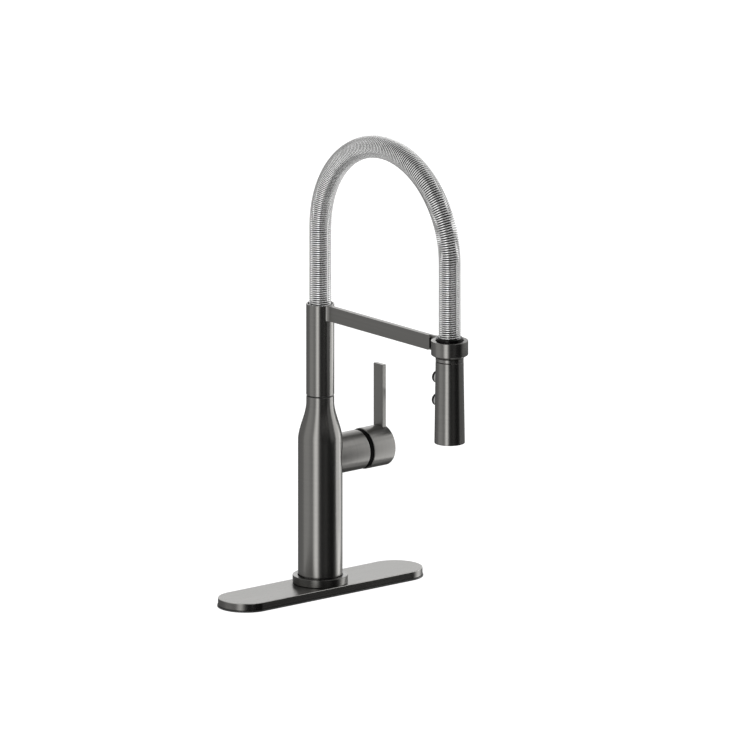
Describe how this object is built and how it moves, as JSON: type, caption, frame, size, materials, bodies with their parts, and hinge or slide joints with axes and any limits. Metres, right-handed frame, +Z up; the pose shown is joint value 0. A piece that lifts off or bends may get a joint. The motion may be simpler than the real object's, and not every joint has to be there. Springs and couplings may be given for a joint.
{
  "type": "pre rinse faucet",
  "caption": "Kitchen faucet with a spring-wrapped arch, a docking arm, a pull-down spray head with push buttons, a side lever and an oblong deck plate.",
  "frame": {"origin": "on the post's axis at the deck surface, the plane of the deck plate's underside", "axes": "+Z up along the post, -Y towards the spray head and the user, +X towards the handle side"},
  "size_m": [0.254, 0.2489, 0.4893],
  "materials": {
    "dark_steel": "dark coated stainless, fine brushed",
    "spring_steel": "bright drawn wire",
    "steel": "satin",
    "brass": "machined",
    "black_plastic": "satin moulded",
    "black_rubber": "matte",
    "grey_plastic": "moulded",
    "ceramic": "lapped"
  },
  "bodies": {
    "base": {"plate_base": "black_plastic", "deck_plate": "dark_steel", "base_ring": "dark_steel", "body_shell": "dark_steel", "valve_barrel": "dark_steel", "valve_core": "brass", "hot_inlet": "brass", "cold_inlet": "brass", "swivel_stub": "brass", "swivel_o_ring_1": "black_rubber", "swivel_o_ring_2": "black_rubber", "swivel_washer": "black_plastic", "spout_clip": "steel", "cartridge_housing": "grey_plastic", "cartridge_nut": "brass", "port_seal_1": "black_rubber", "port_seal_2": "black_rubber", "port_seal_3": "black_rubber", "fixed_disc": "ceramic"},
    "cartridge_carrier": {"moving_disc": "ceramic", "stem_carrier": "grey_plastic", "stem_pin": "steel", "trim_seal": "black_rubber"},
    "handle": {"handle_cap": "dark_steel", "handle_lever": "dark_steel", "cartridge_stem": "steel", "set_screw": "steel", "screw_plug": "black_plastic"},
    "spout": {"spout_tube": "dark_steel", "support_arm": "dark_steel", "spring_seat": "black_plastic", "hose_ferrule": "brass", "hose_rear": "black_rubber", "spring_rear": "spring_steel", "swivel_bush_1": "grey_plastic", "swivel_bush_2": "grey_plastic"},
    "hose_end": {"spring_cup": "dark_steel", "head_collar": "dark_steel", "hose_stem": "brass", "hose_front": "black_rubber", "spring_front": "spring_steel"},
    "spray_head": {"head_shell": "dark_steel", "head_core": "grey_plastic", "check_valve": "black_plastic", "aerator": "grey_plastic", "nozzle_plate": "black_plastic", "nozzle_mat": "black_rubber", "spray_bezel": "steel", "stream_bezel": "steel", "spray_button_spring": "steel", "stream_button_spring": "steel"},
    "spray_button": {"spray_button": "black_rubber"},
    "stream_button": {"stream_button": "black_rubber"}
  },
  "joints": [
    {"name": "spout_swivel", "type": "hinge", "parent": "base", "child": "spout", "pos_m": [0, 0, 0.204], "axis": [0, 0, 1], "range_deg": [-180, 180]},
    {"name": "handle_temperature", "type": "hinge", "parent": "base", "child": "cartridge_carrier", "pos_m": [0.047, 0, 0.1386], "axis": [1, 0, 0], "range_deg": [0, 90]},
    {"name": "handle_flow", "type": "hinge", "parent": "cartridge_carrier", "child": "handle", "pos_m": [0.047, 0, 0.1386], "axis": [0, 1, 0], "range_deg": [0, 10], "deforming": ["trim_seal"]},
    {"name": "head_pull", "type": "slide", "parent": "spout", "child": "hose_end", "axis": [0, 0, -1], "range_m": [0, 0.075], "stiffness_N_per_m": 60, "springref_m": -0.15, "deforming": ["spring_front", "hose_front"]},
    {"name": "head_turn", "type": "hinge", "parent": "hose_end", "child": "spray_head", "pos_m": [0, -0.2014, 0.27], "axis": [0, 0, 1], "continuous": true},
    {"name": "spray_button_press", "type": "slide", "parent": "spray_head", "child": "spray_button", "axis": [0, -1, 0], "range_m": [0, 0.0015], "stiffness_N_per_m": 500, "springref_m": -0.002, "deforming": ["spray_button_spring"]},
    {"name": "stream_button_press", "type": "slide", "parent": "spray_head", "child": "stream_button", "axis": [0, -1, 0], "range_m": [0, 0.0015], "stiffness_N_per_m": 500, "springref_m": -0.002, "deforming": ["stream_button_spring"]}
  ]
}
